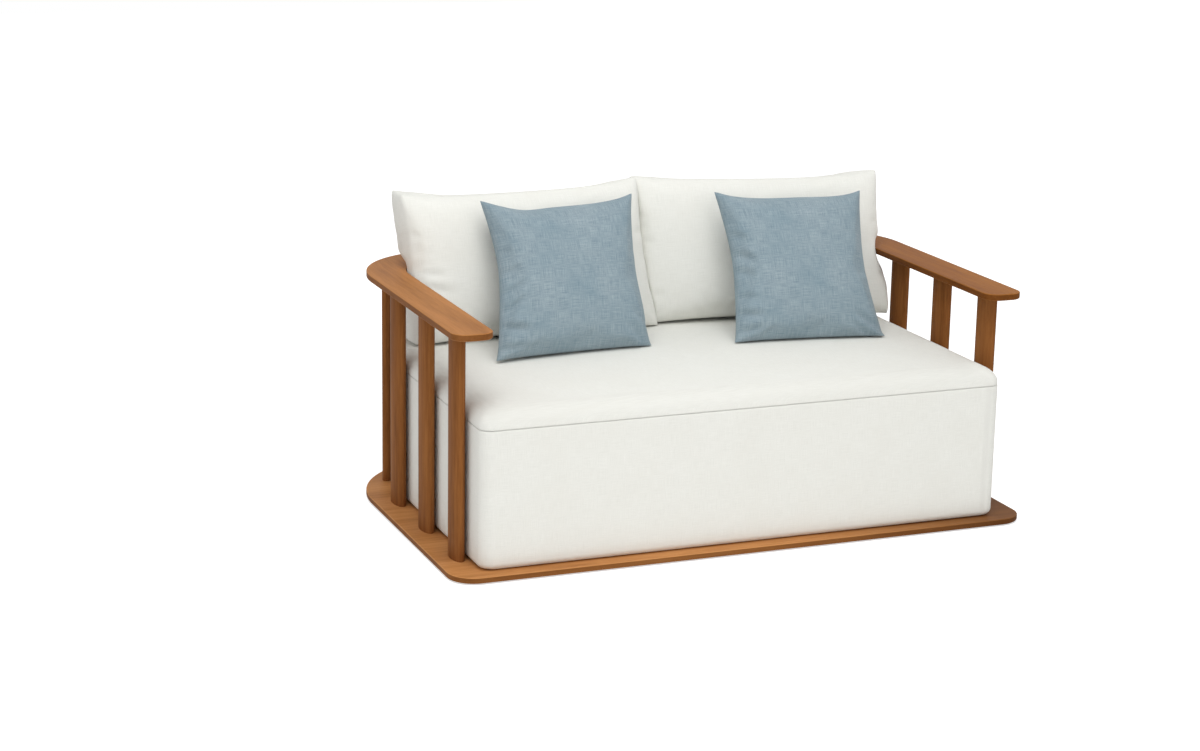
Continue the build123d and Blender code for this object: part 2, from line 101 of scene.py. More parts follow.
class Finish:
    """The nodes of a material, or of the owner given, with one method for every kind."""

    def __init__(self, name, owner=None):
        self.material = owner or bpy.data.materials.new(name)
        self.material.use_nodes = True
        self.tree = self.material.node_tree
        self.tree.nodes.clear()

    def node(self, kind, settings=None, inputs=(), out=0):
        made = self.tree.nodes.new(kind)
        for key, value in (settings or {}).items():
            if key == "stops":
                ramp = made.color_ramp
                while len(ramp.elements) < len(value):
                    ramp.elements.new(0.5)
                for stop, (place, colour) in zip(ramp.elements, value):
                    stop.position = place
                    stop.color = colour
            else:
                setattr(made, key, value)
        pairs = inputs.items() if isinstance(inputs, dict) else enumerate(inputs)
        for key, value in pairs:
            if isinstance(value, Shade):
                self.tree.links.new(value.socket, made.inputs[key])
            else:
                made.inputs[key].default_value = value
        return Shade(self, made.outputs[out]) if made.outputs else None

    def twin(self, shade, out):
        """Another output of the node behind a value."""
        return Shade(self, shade.socket.node.outputs[out])

    def mix(self, mask, first, second, blend="MIX"):
        settings = {"data_type": "RGBA", "blend_type": blend, "clamp_factor": True}
        return self.node("ShaderNodeMix", settings, {0: mask, 6: first, 7: second}, out=2)

    def scaled(self, vector, scale):
        return self.node("ShaderNodeVectorMath", {"operation": "MULTIPLY"}, (vector, scale))

    def fade(self, value, limits, levels):
        """A value that runs between two levels within two limits, and holds outside them."""
        span = {"From Min": limits[0], "From Max": limits[1], "To Min": levels[0], "To Max": levels[1]}
        return self.node("ShaderNodeMapRange", {}, {"Value": value, **span})

    def noise(self, vector, scale, detail=2.0, rough=0.5, distortion=0.0):
        inputs = {"Vector": vector, "Scale": scale, "Detail": detail, "Roughness": rough}
        inputs["Distortion"] = distortion
        return self.node("ShaderNodeTexNoise", {}, inputs)

    def bump(self, height, distance, strength=1.0):
        inputs = {"Height": height, "Distance": distance, "Strength": strength}
        return self.node("ShaderNodeBump", {}, inputs)

    def surface(self, **inputs):
        named = {key.replace("_", " "): value for key, value in inputs.items()}
        shader = self.node("ShaderNodeBsdfPrincipled", {}, named)
        self.node("ShaderNodeOutputMaterial", {}, {"Surface": shader})
        return self.material


def opaque(red, green, blue):
    """A display colour, 0 to 255 a channel, as the linear colour that a shader takes."""

    def linear(value):
        value = value / 255.0
        return value / 12.92 if value <= 0.04045 else ((value + 0.055) / 1.055) ** 2.4

    return (linear(red), linear(green), linear(blue), 1.0)


# Studio: a matt white floor that keeps the shadow, a white backdrop all round, and two
# softboxes, one overhead and one in front.
floor_half = 12.0
floor_white = (0.97, 0.97, 0.97, 1.0)
floor_glow = 0.55
backdrop_white = (1.0, 1.0, 1.0, 1.0)
backdrop_light, backdrop_seen = 0.64, 1.0
floor_mesh = bpy.data.meshes.new("studio_floor")
floor_corners = [(x * floor_half, y * floor_half, 0) for x, y in ((-1, -1), (1, -1), (1, 1), (-1, 1))]
floor_mesh.from_pydata(floor_corners, [], [(0, 1, 2, 3)])
floor = bpy.data.objects.new("studio_floor", floor_mesh)
scene.collection.objects.link(floor)
paint = Finish("studio_floor_paint")
seen_by_camera = paint.node("ShaderNodeLightPath", out="Is Camera Ray")
matt = paint.node("ShaderNodeBsdfDiffuse", {}, {"Color": floor_white})
floor_light = {"Color": backdrop_white, "Strength": seen_by_camera * floor_glow}
glow = paint.node("ShaderNodeEmission", {}, floor_light)
lit_floor = paint.node("ShaderNodeAddShader", {}, (matt, glow))
paint.node("ShaderNodeOutputMaterial", {}, {"Surface": lit_floor})
floor_mesh.materials.append(paint.material)

scene.world = bpy.data.worlds.new("studio_light")
sky = Finish("studio_light", scene.world)
paths = sky.node("ShaderNodeLightPath")
seen = sky.node("ShaderNodeMath", {"operation": "MAXIMUM"}, (paths, sky.twin(paths, "Is Glossy Ray")))
lit = sky.node("ShaderNodeBackground", {}, {"Color": backdrop_white, "Strength": backdrop_light})
white = sky.node("ShaderNodeBackground", {}, {"Color": backdrop_white, "Strength": backdrop_seen})
sky.node("ShaderNodeOutputWorld", {}, {"Surface": sky.node("ShaderNodeMixShader", {}, (seen, lit, white))})


def lamp(name, place, target, size, power):
    """A square softbox that looks at a point."""
    data = bpy.data.lights.new(name, "AREA")
    data.shape = "SQUARE"
    data.size = size
    data.energy = power
    made = bpy.data.objects.new(name, data)
    scene.collection.objects.link(made)
    made.location = place
    made.rotation_euler = (Vector(target) - Vector(place)).to_track_quat("-Z", "Y").to_euler()


lamp("overhead_softbox", place=(-0.7, -1.6, 3.9), target=(0.0, -0.1, 0.3), size=3.0, power=84.0)
lamp("front_softbox", place=(-0.2, -5.0, 1.7), target=(0.0, 0.0, 0.4), size=2.6, power=20.5)

# Base board: hardwood of one thickness under everything, edge-glued and oiled, with the
# grain along its length. Its upright sides carry painted shade that makes them darker than
# the top, its arrises a pale painted highlight, and its top painted shade towards the right end.
board_tones = opaque(206, 148, 94), opaque(186, 128, 76), opaque(156, 102, 56)
board_side_painted_shade = (0.47, 0.41, 0.33, 1.0)
board_arris_highlight = 0.5
board_right_shade = 0.75
right_shade_span = (0.15, 0.75)
right_shade_colour = opaque(78, 44, 18)
across_grain, along_grain = 22.0, 1.6
streak_fineness, pore_fineness = 5.5, 26.0
broad_share, streak_share, pore_share, tone_drop = 0.76, 0.60, 0.20, 0.28
dark_stop, mid_stop, pale_stop = 0.22, 0.5, 0.80
pore_limits, pore_darkness = (0.60, 0.74), 0.35
upright_shade_limits = (0.25, 0.75)
arris_highlight_limits = (0.0, 0.2)
wood_roughness, wood_gleam = 0.40, 0.045
grain_relief, grain_strength = 0.0006, 0.5


def timber(name, tones, stretch, side_painted_shade, arris_highlight, right_shade=0.0):
    """A hardwood in pale, middle and dark tones, grained along the axis of least stretch, with painted
    shade on its upright faces and a painted highlight on its arrises.
    """
    pale, mid, dark = tones
    wood = Finish(name)
    place = wood.node("ShaderNodeTexCoord", out="Object")
    grain = wood.scaled(place, stretch)
    broad = wood.noise(grain, 1.0, 3.0, 0.55, 0.35)
    streaks = wood.noise(grain, streak_fineness, 5.0, 0.62, 0.15)
    pores = wood.noise(grain, pore_fineness, 3.0, 0.7)
    tone = broad * broad_share + streaks * streak_share + pores * pore_share - tone_drop
    stops = ((dark_stop, dark), (mid_stop, mid), (pale_stop, pale))
    colour = wood.node("ShaderNodeValToRGB", {"stops": stops}, (tone,))
    specks = wood.fade(pores, pore_limits, (0.0, pore_darkness))
    colour = wood.mix(specks, colour, dark)
    # Painted shade: faces that stand upright, found from the normal, are multiplied by the side shade
    # colour and so come out darker than the tops.
    facing = wood.node("ShaderNodeNewGeometry", out="Normal")
    upward = wood.node("ShaderNodeSeparateXYZ", {}, (facing,), out=2)
    upright = wood.fade(upward, upright_shade_limits, (1.0, 0.0))
    colour = wood.mix(upright, colour, wood.mix(1.0, colour, side_painted_shade, "MULTIPLY"))
    # Painted highlight: faces near 45 degrees, on the rounded arrises, are mixed towards the pale tone.
    slope = upward * upward - 0.5
    arris_highlight_mask = wood.fade(slope * slope, arris_highlight_limits, (arris_highlight, 0.0))
    colour = wood.mix(arris_highlight_mask, colour, pale)
    # Painted shade: the colour darkens towards +x, standing in for the shade on the board's right end.
    if right_shade:
        across = wood.node("ShaderNodeSeparateXYZ", {}, (place,), out=0)
        colour = wood.mix(wood.fade(across, right_shade_span, (0.0, right_shade)), colour, right_shade_colour)
    gloss = wood_roughness + broad * 0.10 + streaks * 0.08
    normal = wood.bump(streaks * 0.6 + pores * 0.4, grain_relief, grain_strength)
    return wood.surface(Base_Color=colour, Roughness=gloss, Normal=normal, Specular_IOR_Level=wood_gleam)


def dress(node, material):
    """Give a CAD node one material all over."""
    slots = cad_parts[node].material_slots
    if not slots:
        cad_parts[node].data.materials.append(material)
    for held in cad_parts[node].material_slots:
        held.link = "OBJECT"
        held.material = material


along_x = (along_grain, across_grain, across_grain)
board_wood = timber("board_wood", board_tones, along_x, board_side_painted_shade, board_arris_highlight, board_right_shade)
dress("base_board", board_wood)

# Slats: thirteen hardwood uprights, oval in section, round the back and both arms, and
# darker than the boards. Two bolts hold each to the base board, and two dowels to the rail.
slat_tones = opaque(158, 104, 56), opaque(134, 84, 43), opaque(102, 60, 27)
slat_stretch = (30.0, 30.0, 1.8)
# Slats, dowels and plywood get no painted side shade.
no_painted_shade = (1.0, 1.0, 1.0, 1.0)
slat_wood = timber("slat_wood", slat_tones, slat_stretch, no_painted_shade, 0.0)
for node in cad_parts:
    if node.startswith("slat_") and node not in ("slat_bolts", "slat_inserts"):
        dress(node, slat_wood)

# Top rail: a flat U of hardwood in five lengths, butted end to end on loose tenons. Each
# arm and its corner share a tone and a grain from front to back, and the back has its own.
# The right arm's darker tones are painted shade, and the rail's upright sides carry painted
# shade and its arrises a painted highlight.
rail_side_painted_shade = (0.56, 0.50, 0.44, 1.0)
rail_arris_highlight = 0.6
along_y = (across_grain, along_grain, across_grain)
# The right arm's tones are darker than the left's as painted shade.
arm_tones_right_shaded = {
    "left": (opaque(184, 127, 77), opaque(164, 111, 63), opaque(138, 89, 48)),
    "right": (opaque(160, 105, 51), opaque(140, 87, 39), opaque(112, 65, 27)),
}
for side, tones in arm_tones_right_shaded.items():
    arm_wood = timber(f"rail_{side}_arm_wood", tones, along_y, rail_side_painted_shade, rail_arris_highlight)
    dress(f"rail_{side}_arm", arm_wood)
    dress(f"rail_{side}_corner", arm_wood)
rail_back_tones = opaque(212, 148, 82), opaque(192, 128, 64), opaque(163, 103, 48)
dress("rail_back", timber("rail_back_wood", rail_back_tones, along_x, rail_side_painted_shade, rail_arris_highlight))

# Wooden fixings: beech dowels that stand in the slats and reach up into the rail, and
# flat beech tenons in the rail's four end joints, all glued in.
dowel_tones = opaque(214, 180, 140), opaque(196, 158, 116), opaque(170, 130, 90)
dowel_stretch = (24.0, 24.0, 2.0)
dowel_wood = timber("dowel_wood", dowel_tones, dowel_stretch, no_painted_shade, 0.0)
dress("rail_dowels", dowel_wood)
dress("rail_tenons", dowel_wood)

# Metal fixings: zinc-plated steel. Bolts run up through the base board into threaded
# inserts in the slats, and screws hold the glides and the plinth.
zinc_shade, zinc_shine = (0.50, 0.51, 0.52, 1.0), (0.68, 0.68, 0.66, 1.0)
zinc_fineness, zinc_roughness = 320.0, 0.28
zinc = Finish("zinc_plate")
zinc_haze = zinc.noise(zinc.node("ShaderNodeTexCoord", out="Object"), zinc_fineness, 4.0, 0.6)
zinc_colour = zinc.mix(zinc_haze, zinc_shade, zinc_shine)
zinc_plate = zinc.surface(Base_Color=zinc_colour, Metallic=1.0, Roughness=zinc_roughness + zinc_haze * 0.25)
for node in ("slat_bolts", "slat_inserts", "glide_screws", "plinth_screws"):
    dress(node, zinc_plate)

# Glides: round feet of black moulded plastic that keep the base board off the ground.
# Each is held by one screw, and the mould has left a fine grit on it.
glide_dark, glide_light = (0.018, 0.018, 0.018, 1.0), (0.035, 0.035, 0.035, 1.0)
grit_fineness, grit_relief, grit_strength = 1400.0, 0.0003, 0.4
moulded = Finish("glide_plastic")
mould_grit = moulded.noise(moulded.node("ShaderNodeTexCoord", out="Object"), grit_fineness, 2.0)
glide_plastic = moulded.surface(
    Base_Color=moulded.mix(mould_grit, glide_dark, glide_light),
    Roughness=0.5 + mould_grit * 0.2,
    Normal=moulded.bump(mould_grit, grit_relief, grit_strength),
)
dress("floor_glides", glide_plastic)

# Plinth: six panels of birch plywood in a ring, two dividers and a deck board, screwed
# together. It stands inside the seat block and carries its foam.
plywood_tones = opaque(222, 196, 158), opaque(206, 176, 134), opaque(180, 148, 106)
plywood_stretch = (3.0, 20.0, 20.0)
plywood = timber("plinth_plywood", plywood_tones, plywood_stretch, no_painted_shade, 0.0)
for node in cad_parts:
    if node.startswith("plinth_") and node != "plinth_screws":
        dress(node, plywood)

# Seat block: heavy off-white outdoor cloth over foam, cut as a skirt and a top that are
# sewn together below the shoulder, and pulled flat over the front.
block_half, block_front, block_back = 0.7445, -0.494, 0.4495
block_front_corner, block_back_corner, least_corner = 0.034, 0.2195, 0.004
front_corner_easing = 0.2
cover_foot, foot_round = 0.0205, 0.018
skirt_start, skirt_end_gap = 0.06, 0.012
seat_top, crown_rise = 0.4445, 0.003
crown_insets = (0.10, 0.14, 0.19, 0.25, 0.31, 0.37, 0.42)
crown_middle, crown_reach = 0.47, 0.40
seam_level, seam_depth, seam_lip, seam_margin = 0.389, 0.0042, 0.0014, 0.004
skirt_lip_inset, top_lip_inset = 0.0004, 0.0006
shoulder_in, shoulder_gap = 0.070, 0.008
side_cloth_inset = 0.06
corner_steps, foot_steps, skirt_rows, shoulder_steps = 24, 6, 14, 14
straight_steps = (30, 60, 30, 90)
seat_tones = opaque(242, 242, 236), opaque(227, 227, 220), opaque(230, 229, 221)
yarn_pitch = 0.0018
slub_width, slub_length = 760.0, 26.0
slub_contrast, weave_contrast = 1.25, 0.20
cloud_scale, cloud_limits, cloud_depth = 9.0, (0.35, 0.75), 0.35
weave_share, slub_share, weave_relief, weave_strength = 0.5, 0.3, 0.0007, 0.5


def outdoor_cloth(name, tones):
    """A plain weave of warp and weft yarns with a clouded shade, mapped in metres by UVs."""
    warp, weft, shade = tones
    cloth = Finish(name)
    place = cloth.node("ShaderNodeUVMap", {"uv_map": "cloth"})
    parts = cloth.node("ShaderNodeSeparateXYZ", {}, (place,))
    across, along = cloth.twin(parts, 0), cloth.twin(parts, 1)
    warp_slub = cloth.noise(cloth.scaled(place, (slub_width, slub_length, 1.0)), 1.0, 2.0, 0.6)
    weft_slub = cloth.noise(cloth.scaled(place, (slub_length, slub_width, 1.0)), 1.0, 2.0, 0.6)
    yarn = 2.0 * math.pi / yarn_pitch
    over = cloth.node("ShaderNodeMath", {"operation": "SINE"}, (across * yarn,))
    under = cloth.node("ShaderNodeMath", {"operation": "SINE"}, (along * yarn,))
    lattice = over * under
    mask = 0.5 + lattice * weave_contrast + (warp_slub - weft_slub) * slub_contrast
    colour = cloth.mix(mask, warp, weft)
    cloud = cloth.noise(place, cloud_scale, 3.0, 0.5)
    colour = cloth.mix(cloth.fade(cloud, cloud_limits, (0.0, cloud_depth)), colour, shade)
    height = lattice * weave_share + (warp_slub + weft_slub) * slub_share
    return cloth, colour, cloth.bump(height, weave_relief, weave_strength)


def block_ring(inset, front_corner, back_corner):
    """Points round the block's plan, drawn in by an inset, the same count for any inset."""
    half, front, back = block_half - inset, block_front + inset, block_back - inset
    front_corner, back_corner = max(front_corner, least_corner), max(back_corner, least_corner)
    corners = (
        (half - front_corner, front + front_corner, front_corner, -90),
        (half - back_corner, back - back_corner, back_corner, 0),
        (-half + back_corner, back - back_corner, back_corner, 90),
        (-half + front_corner, front + front_corner, front_corner, 180),
    )
    arcs = []
    for x, y, radius, start in corners:
        turns = [math.radians(start + 90.0 * step / corner_steps) for step in range(corner_steps + 1)]
        arcs.append([(x + radius * math.cos(turn), y + radius * math.sin(turn)) for turn in turns])
    ring = []
    for arc, after, steps in zip(arcs, arcs[1:] + arcs[:1], straight_steps):
        ring += arc
        (x, y), (next_x, next_y) = arc[-1], after[0]
        for step in range(1, steps + 1):
            share = step / (steps + 1)
            ring.append((x + (next_x - x) * share, y + (next_y - y) * share))
    return ring


cream, cream_colour, cream_normal = outdoor_cloth("seat_cloth", seat_tones)
seat_cloth = cream.surface(
    Base_Color=cream_colour, Roughness=0.92, Normal=cream_normal,
    Specular_IOR_Level=0.2, Sheen_Weight=0.12, Sheen_Roughness=0.6,
)
profile = []
for step in range(foot_steps + 1):
    turn = math.radians(90.0 * step / foot_steps)
    profile.append((foot_round * (1 - math.sin(turn)), cover_foot + foot_round * (1 - math.cos(turn))))
for level in np.linspace(skirt_start, seam_level - skirt_end_gap, skirt_rows):
    profile.append((0.0, float(level)))
profile += [
    (0.0, seam_level - seam_margin),
    (skirt_lip_inset, seam_level - seam_lip),
    (seam_depth, seam_level),
    (top_lip_inset, seam_level + seam_lip),
    (top_lip_inset, seam_level + seam_margin),
]
shoulder_up = seat_top - crown_rise - (seam_level + shoulder_gap)
for step in range(1, shoulder_steps + 1):
    turn = math.radians(90.0 * step / shoulder_steps)
    rise = shoulder_up * math.sin(turn)
    profile.append((top_lip_inset + shoulder_in * (1 - math.cos(turn)), seam_level + shoulder_gap + rise))
for inset in crown_insets:
    crown = crown_rise * (1 - ((crown_middle - inset) / crown_reach) ** 2)
    profile.append((inset, seat_top - crown_rise + max(crown, 0.0)))
block_points, block_uvs = [], []
for inset, level in profile:
    ring = block_ring(inset, block_front_corner - inset * front_corner_easing, block_back_corner - inset)
    run = 0.0
    for index, (x, y) in enumerate(ring):
        if index:
            run += math.dist(ring[index - 1], ring[index])
        block_points.append((x, y, level))
        block_uvs.append((run, level) if inset < side_cloth_inset else (x, y))
round_count = corner_steps * 4 + 4 + sum(straight_steps)
block_faces = []
for row in range(len(profile) - 1):
    below, above = row * round_count, (row + 1) * round_count
    for index in range(round_count):
        after = (index + 1) % round_count
        block_faces.append((below + index, below + after, above + after, above + index))
block_faces.append(tuple(reversed(range(round_count))))
block_faces.append(tuple((len(profile) - 1) * round_count + index for index in range(round_count)))
block_mesh = bpy.data.meshes.new("seat_block_cover")
block_mesh.from_pydata(block_points, [], block_faces)
uv_layer = block_mesh.uv_layers.new(name="cloth")
for loop in block_mesh.loops:
    uv_layer.data[loop.index].uv = block_uvs[loop.vertex_index]
for polygon in block_mesh.polygons:
    polygon.use_smooth = True
block_mesh.materials.append(seat_cloth)
seat_block_cover = bpy.data.objects.new("seat_block_cover", block_mesh)
scene.collection.objects.link(seat_block_cover)
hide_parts("seat_cover_top", "seat_cover_skirt", "seat_foam", "side_wadding")
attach(seat_block_cover, "seat_block")

# Back cushions: the same off-white cloth, each a front and a back panel sewn to a boxing
# strip and stuffed, so that the crown is full and the sides pull in. They stand loose on
# the seat and lean on the rail, which presses a groove into them.
cushion_size = (0.700, 0.439)
cushion_edge, cushion_thickness, cushion_bulge = 0.112, 0.198, 0.006
cushion_draw_in = (0.003, 0.011, 0.018)
cushion_fullness = (3.4, 0.70)
cushion_step = 0.0112
boxing_corner_pinch = 0.35
corner_reach = 1.6
fold_start, ridge_height, ridge_offset, ridge_width = 0.12, 0.55, 1.9, 1.3
filling_pressure, case_growth, stuffing_reach, stuffing_frames = 3.0, 0.03, 0.010, 20
cloth_stiffness, cloth_bending, cloth_mass = 15.0, 0.5, 0.35
rail_inner_half, rail_inner_back, rail_inner_corner = 0.700, 0.415, 0.170
rail_top, rail_under, rail_clearance, rail_top_clearance = 0.638, 0.620, 0.002, 0.004
overhang_below, overhang_above = 0.055, 0.034
spill_under_rail = {"left": 0.012, "right": 0.027}
rest_gap, seat_give = 0.0015, 0.016


def sewn_case(name, size, edge, thickness, draw_in, bulge, fullness, step):
    """A closed case of two crowned panels, with a boxing strip where edge is over zero.

    draw_in says how far the sides, the top and the foot pull in at their middles.
    """
    width, height = size
    columns, rows, layers = round(width / step), round(height / step), round(edge / step)
    power, root = fullness
    side_draw, top_draw, foot_draw = draw_in
    end_power = 4 if edge else 2
    top = max(layers, 1)
    square = ((0, 0), (1, 0), (1, 1), (0, 1))
    index_of, points, units, faces, uvs = {}, [], [], [], []

    def vertex(i, j, k):
        """The index of a grid point, which is made when it is first asked for."""
        rim = i in (0, columns) or j in (0, rows)
        knife = layers == 0 and rim
        key = (i, j, 0) if knife else (i, j, k)
        if key in index_of:
            return index_of[key]
        index_of[key] = len(points)
        a, b, c = 2 * i / columns - 1, 2 * j / rows - 1, 2 * k / top - 1
        x = a * (width / 2 - side_draw * (1 - b * b))
        y = b * (height / 2 - (top_draw if b > 0 else foot_draw) * (1 - abs(a) ** end_power))
        z = c * edge / 2 * (1 - boxing_corner_pinch * (a * b) ** 6)
        if rim:
            out = bulge * (1 - c * c)
            x += out * a * (1 - b ** 4) if i in (0, columns) else 0.0
            y += out * b * (1 - a ** 4) if j in (0, rows) else 0.0
        else:
            z += c * (thickness - edge) / 2 * ((1 - abs(a) ** power) * (1 - abs(b) ** power)) ** root
        points.append((x, y, 0.0 if knife else z))
        units.append((a, b, 0.0 if knife else c))
        return index_of[key]

    def quad(corners, key, turned=False):
        """One quad of cloth, turned over where the case faces the other way."""
        spots = corners[::-1] if turned else corners
        faces.append([vertex(*key(*spot)) for spot in spots])
        uvs.append([(u * step, v * step) for u, v in spots])

    for i in range(columns):
        for j in range(rows):
            corners = [(i + p, j + q) for p, q in square]
            quad(corners, lambda u, v: (u, v, top))
            quad(corners, lambda u, v: (u, v, 0), turned=True)
    for k in range(layers):
        for i in range(columns):
            corners = [(i + p, k + q) for p, q in square]
            quad(corners, lambda u, v: (u, 0, v))
            quad(corners, lambda u, v: (u, rows, v), turned=True)
        for j in range(rows):
            corners = [(j + p, k + q) for p, q in square]
            quad(corners, lambda u, v: (0, u, v), turned=True)
            quad(corners, lambda u, v: (columns, u, v))
    mesh = bpy.data.meshes.new(name)
    mesh.from_pydata(points, [], faces)
    layer = mesh.uv_layers.new(name="cloth")
    for polygon, maps in zip(mesh.polygons, uvs):
        for loop, place in zip(polygon.loop_indices, maps):
            layer.data[loop].uv = place
        polygon.use_smooth = True
    made = bpy.data.objects.new(name, mesh)
    scene.collection.objects.link(made)
    return made, np.array(units)


def stuff(case):
    """Fill a case by cloth simulation, keeping each point within a reach of its start."""
    start = np.array([v.co[:] for v in case.data.vertices])
    modifier = case.modifiers.new("stuffing", "CLOTH")
    settings = modifier.settings
    settings.quality = 6
    settings.mass = cloth_mass
    settings.tension_stiffness = cloth_stiffness
    settings.compression_stiffness = cloth_stiffness
    settings.shear_stiffness = cloth_stiffness / 4
    settings.bending_stiffness = cloth_bending
    settings.shrink_min = -case_growth
    settings.use_pressure = True
    settings.uniform_pressure_force = filling_pressure
    settings.effector_weights.gravity = 0.0
    modifier.collision_settings.use_collision = False
    modifier.point_cache.frame_start = 1
    modifier.point_cache.frame_end = stuffing_frames
    for frame_number in range(1, stuffing_frames + 1):
        scene.frame_set(frame_number)
    depsgraph = bpy.context.evaluated_depsgraph_get()
    solved = case.evaluated_get(depsgraph)
    moved = np.array([v.co[:] for v in solved.data.vertices])
    case.modifiers.remove(modifier)
    scene.frame_set(1)
    shift = moved - start
    length = np.linalg.norm(shift, axis=1, keepdims=True)
    return start + shift * np.tanh(length / stuffing_reach) * stuffing_reach / np.maximum(length, 1e-9)


def leaning(place, lean, turn, tilt=0.0):
    """The matrix of a cushion that leans back, turned about the upright and tilted."""
    lean, turn, tilt = (math.radians(a) for a in (lean, turn, tilt))
    x_axis = Vector((math.cos(turn), math.sin(turn), 0.0))
    z_axis = Vector((math.sin(turn) * math.cos(lean), -math.cos(turn) * math.cos(lean), math.sin(lean)))
    y_axis = z_axis.cross(x_axis)
    basis = Matrix((x_axis, y_axis, z_axis)).transposed().to_4x4()
    return Matrix.Translation(place) @ basis @ Matrix.Rotation(-tilt, 4, "Z")


def stand(points, units, matrix, pulls):
    """Put a form in its place and pull its corners. A zero in a corner takes both faces."""
    spots = (np.c_[points, np.ones(len(points))] @ np.array(matrix).T)[:, :3]
    for corner, shift in pulls.items():
        nearness = np.where(np.equal(corner, 0), 1.0, (1 + units * corner) / 2)
        near = np.prod(nearness, axis=1) ** corner_reach
        spots += near[:, None] * np.array(shift)
    return spots


def pinch(spots, units, pinches):
    """Shift a form round single places of its plan, each within a radius."""
    out = spots.copy()
    for across, up, radius, shift in pinches:
        near = np.exp(-((units[:, 0] - across) ** 2 + (units[:, 1] - up) ** 2) / radius ** 2)
        out += near[:, None] * np.array(shift)
    return out


def crease(spots, units, matrix, size, folds):
    """Sink folds into a form's front, each from one place on its face to another."""
    out = spots.copy()
    half = np.array(size) / 2
    flat = units[:, :2] * half
    front = np.clip(units[:, 2] * 4, 0, 1)
    normal = np.array(matrix.to_3x3().col[2])
    for start, finish, depth, width in folds:
        start, finish = np.array(start) * half, np.array(finish) * half
        along = finish - start
        length = np.linalg.norm(along)
        along = along / length
        run = (flat - start) @ along
        off = (flat - start) @ np.array((-along[1], along[0]))
        share = np.clip(run / length, 0, 1)
        taper = np.clip(np.sin(np.pi * (fold_start + (1 - fold_start) * share)), 0, 1)
        taper *= np.exp(-((run - share * length) / width) ** 2)
        valley = -np.exp(-(off / width) ** 2)
        ridge = ridge_height * np.exp(-((off - ridge_offset * width) / (ridge_width * width)) ** 2)
        out += normal * (front * depth * taper * (valley + ridge))[:, None]
    return out


def press(points, spill_below):
    """Rest a cushion on the seat, and hold it inside the rail where the two meet."""
    out = points.copy()
    soft_limit = seat_top + rest_gap + seat_give
    depth = np.clip(soft_limit - out[:, 2], 0, None)
    rested = soft_limit - seat_give * np.tanh(depth / seat_give)
    out[:, 2] = np.where(depth > 0, rested, out[:, 2])
    under = np.clip((rail_under - rail_clearance - out[:, 2]) / overhang_below, 0.0, 1.0)
    spill = spill_below * under * under * (3 - 2 * under)
    room, back = rail_inner_half - rest_gap + spill, rail_inner_back - rest_gap + spill
    across = np.abs(out[:, 0]) - (room - rail_inner_corner)
    behind = out[:, 1] - (back - rail_inner_corner)
    both = (across > 0) & (behind > 0)
    reach = np.hypot(across, behind)
    distance = np.where(both, reach, np.maximum(across, behind)) - rail_inner_corner
    held = np.clip((rail_top + rail_top_clearance + overhang_above - out[:, 2]) / overhang_above, 0.0, 1.0)
    inward = np.clip(distance, 0, None) * held * held * (3 - 2 * held)
    reach = np.maximum(reach, 1e-6)
    out[:, 0] -= np.sign(out[:, 0]) * np.where(both, across / reach, across > behind) * inward
    out[:, 1] -= np.where(both, behind / reach, behind >= across) * inward
    return out


def make_way(points, neighbours, away, clearance=0.002, reach=0.3):
    """Push points along a direction until they clear the skins of their neighbours."""
    away = Vector(away).normalized()
    out = points.copy()
    depsgraph = bpy.context.evaluated_depsgraph_get()
    for neighbour in neighbours:
        tree = BVHTree.FromObject(neighbour, depsgraph)
        for index, point in enumerate(out):
            spot = tree.ray_cast(Vector(point) + away * reach, -away, reach + clearance)[0]
            if spot is not None:
                out[index] = spot + away * clearance
    return out


def settle(case, spots, material):
    """Give a form its final points, smooth it and cover it."""
    for vertex, spot in zip(case.data.vertices, spots):
        vertex.co = spot
    finer = case.modifiers.new("finer", "SUBSURF")
    finer.levels = finer.render_levels = 1
    case.data.materials.append(material)
    bpy.context.view_layer.update()


cushion_places = {
    "left": leaning((-0.3525, 0.310, 0.626), 17.0, 1.75),
    "right": leaning((0.3505, 0.302, 0.628), 17.0, -8.0),
}
cushion_pulls = {
    "left": {
        (-1, 1, -1): (0.002, 0.014, 0.016), (-1, 1, 1): (0.0, 0.0, -0.006),
        (1, 1, 1): (0.018, 0.0, 0.006), (1, 1, -1): (0.018, 0.0, 0.0),
        (1, -1, 1): (0.042, 0.0, 0.0), (1, -1, -1): (0.02, 0.0, 0.0),
    },
    "right": {
        (1, 1, 1): (0.049, 0.0, 0.0), (1, 1, -1): (0.040, 0.0, 0.006),
        (1, -1, 1): (0.084, -0.014, 0.012), (1, -1, -1): (0.04, 0.0, 0.0),
        (-1, 1, 1): (-0.012, 0.0, 0.0), (-1, -1, 1): (-0.012, 0.0, 0.0),
    },
}
cushion_pinches = {
    "left": [],
    "right": [(-0.5, 1.0, 0.5, (0.0, 0.0, 0.005)), (1.0, 0.4, 0.45, (0.004, 0.0, 0.0))],
}
